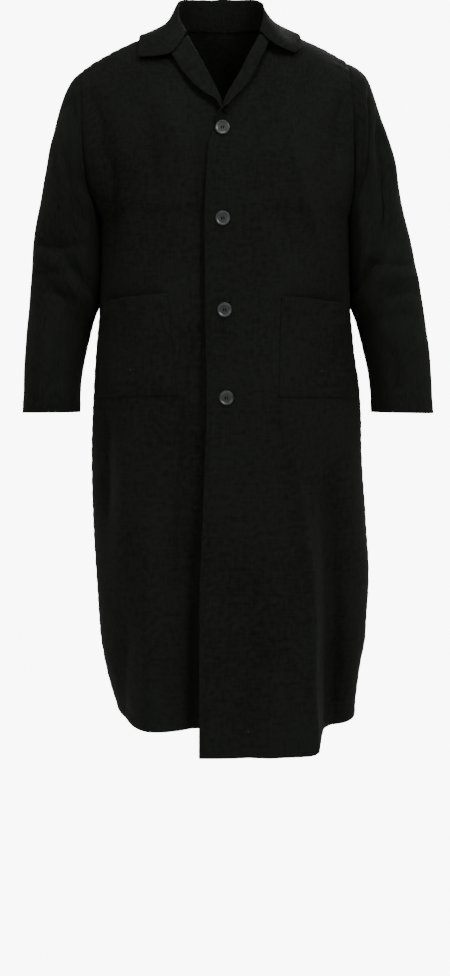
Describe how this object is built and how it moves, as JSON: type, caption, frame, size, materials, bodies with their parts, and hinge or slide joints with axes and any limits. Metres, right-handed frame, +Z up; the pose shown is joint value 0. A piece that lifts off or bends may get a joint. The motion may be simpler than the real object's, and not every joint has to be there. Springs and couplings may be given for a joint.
{
  "type": "duster coat",
  "caption": "Long single-breasted duster coat in heavy black cotton, as worn, with a turn-down collar, short lapel, patch pockets and set-in sleeves.",
  "frame": {"origin": "on the body's centre line at the height where the shoulder seams meet the neck, where the wearer's shoulders hold the coat", "axes": "+Z up, -Y out of the coat's front, +X towards the wearer's left"},
  "size_m": [0.7068, 0.3671, 1.2959],
  "materials": {
    "cloth": "matte",
    "button": "satin"
  },
  "bodies": {
    "root": {"back": "cloth", "front_left": "cloth", "front_right": "cloth", "sleeve_left": "cloth", "sleeve_right": "cloth", "collar": "cloth", "pocket_left": "cloth", "pocket_right": "cloth", "button_1": "button", "button_2": "button", "button_3": "button", "button_4": "button"}
  },
  "joints": []
}
